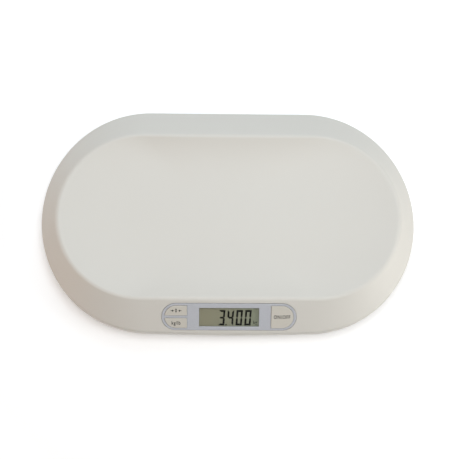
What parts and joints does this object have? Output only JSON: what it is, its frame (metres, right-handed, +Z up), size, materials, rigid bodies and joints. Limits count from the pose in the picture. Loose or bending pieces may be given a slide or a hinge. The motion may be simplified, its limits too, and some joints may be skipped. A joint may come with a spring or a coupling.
{
  "type": "digital baby weighing scale",
  "caption": "Low baby scale with a shallow dished tray on a closed base, a display panel with press keys in the front rim, load-cell feet and a battery door.",
  "frame": {"origin": "centre of the overall box on the surface that the feet stand on", "axes": "+X along the tray to the right, +Y away from the display, +Z up"},
  "size_m": [0.555, 0.345, 0.0541],
  "materials": {
    "body_plastic": "fine matte moulded texture, warm light grey",
    "base_plastic": "matte moulded plastic, a shade darker",
    "key_plastic": "satin moulded plastic",
    "silver_plate": "silver-grey painted satin",
    "window": "clear polished acrylic",
    "lcd": "olive-grey reflective display",
    "lcd_ink": "near-black display segments",
    "white_plastic": "white moulded plastic",
    "black_plastic": "black moulded plastic",
    "board": "green solder mask",
    "steel": "zinc-plated steel",
    "spring_steel": "nickel-plated spring steel",
    "rubber_foot": "matte black rubber",
    "battery_can": "printed film sleeve, plain",
    "lead_jacket": "flexible sleeve",
    "sealant": "white silicone sealant"
  },
  "bodies": {
    "root": {"tray_shell": "body_plastic", "base_cover": "base_plastic", "case_screws": "steel", "bezel_plate": "silver_plate", "display_window": "window", "lcd_glass": "lcd", "lcd_digits": "lcd_ink", "lcd_frame": "white_plastic", "contact_strip": "black_plastic", "display_board": "board", "controller_chip": "black_plastic", "board_parts": "black_plastic", "lead_socket": "white_plastic", "board_screws": "steel", "tare_switch": "black_plastic", "unit_switch": "black_plastic", "power_switch": "black_plastic", "battery_plates": "spring_steel", "battery_springs": "spring_steel", "battery_lead": "lead_jacket", "strain_gauges": "sealant", "load_cell_screws": "steel", "battery_1": "battery_can", "battery_2": "battery_can", "battery_3": "battery_can", "battery_4": "battery_can", "front_left_load_cell": "spring_steel", "front_right_load_cell": "spring_steel", "back_left_load_cell": "spring_steel", "back_right_load_cell": "spring_steel", "front_left_cell_bracket": "white_plastic", "front_right_cell_bracket": "white_plastic", "back_left_cell_bracket": "white_plastic", "back_right_cell_bracket": "white_plastic", "front_left_lead": "lead_jacket", "front_right_lead": "lead_jacket", "back_left_lead": "lead_jacket", "back_right_lead": "lead_jacket"},
    "tare_key": {"tare_button": "key_plastic", "tare_plunger": "white_plastic"},
    "unit_key": {"unit_button": "key_plastic", "unit_plunger": "white_plastic"},
    "power_key": {"power_button": "key_plastic", "power_plunger": "white_plastic"},
    "battery_door": {"battery_door": "base_plastic", "battery_door_latch": "base_plastic"},
    "front_left_foot": {"front_left_foot_pad": "rubber_foot", "front_left_foot_cup": "base_plastic"},
    "front_right_foot": {"front_right_foot_pad": "rubber_foot", "front_right_foot_cup": "base_plastic"},
    "back_left_foot": {"back_left_foot_pad": "rubber_foot", "back_left_foot_cup": "base_plastic"},
    "back_right_foot": {"back_right_foot_pad": "rubber_foot", "back_right_foot_cup": "base_plastic"}
  },
  "joints": [
    {"name": "tare_press", "type": "slide", "parent": "root", "child": "tare_key", "axis": [0, 0.5252, -0.851], "range_m": [0, 0.0006], "stiffness_N_per_m": 250, "springref_m": -0.003},
    {"name": "unit_press", "type": "slide", "parent": "root", "child": "unit_key", "axis": [0, 0.5252, -0.851], "range_m": [0, 0.0006], "stiffness_N_per_m": 250, "springref_m": -0.003},
    {"name": "power_press", "type": "slide", "parent": "root", "child": "power_key", "axis": [0, 0.5252, -0.851], "range_m": [0, 0.0006], "stiffness_N_per_m": 250, "springref_m": -0.003},
    {"name": "battery_door_hinge", "type": "hinge", "parent": "root", "child": "battery_door", "pos_m": [0, -0.003, 0.0092], "axis": [-1, 0, 0], "range_deg": [0, 90], "deforming": ["battery_door_latch"]},
    {"name": "front_left_foot_travel", "type": "slide", "parent": "root", "child": "front_left_foot", "axis": [0, 0, 1], "range_m": [0, 0.0005], "stiffness_N_per_m": 800, "springref_m": -0.01, "deforming": ["front_left_load_cell"]},
    {"name": "front_right_foot_travel", "type": "slide", "parent": "root", "child": "front_right_foot", "axis": [0, 0, 1], "range_m": [0, 0.0005], "stiffness_N_per_m": 800, "springref_m": -0.01, "deforming": ["front_right_load_cell"]},
    {"name": "back_left_foot_travel", "type": "slide", "parent": "root", "child": "back_left_foot", "axis": [0, 0, 1], "range_m": [0, 0.0005], "stiffness_N_per_m": 800, "springref_m": -0.01, "deforming": ["back_left_load_cell"]},
    {"name": "back_right_foot_travel", "type": "slide", "parent": "root", "child": "back_right_foot", "axis": [0, 0, 1], "range_m": [0, 0.0005], "stiffness_N_per_m": 800, "springref_m": -0.01, "deforming": ["back_right_load_cell"]}
  ]
}
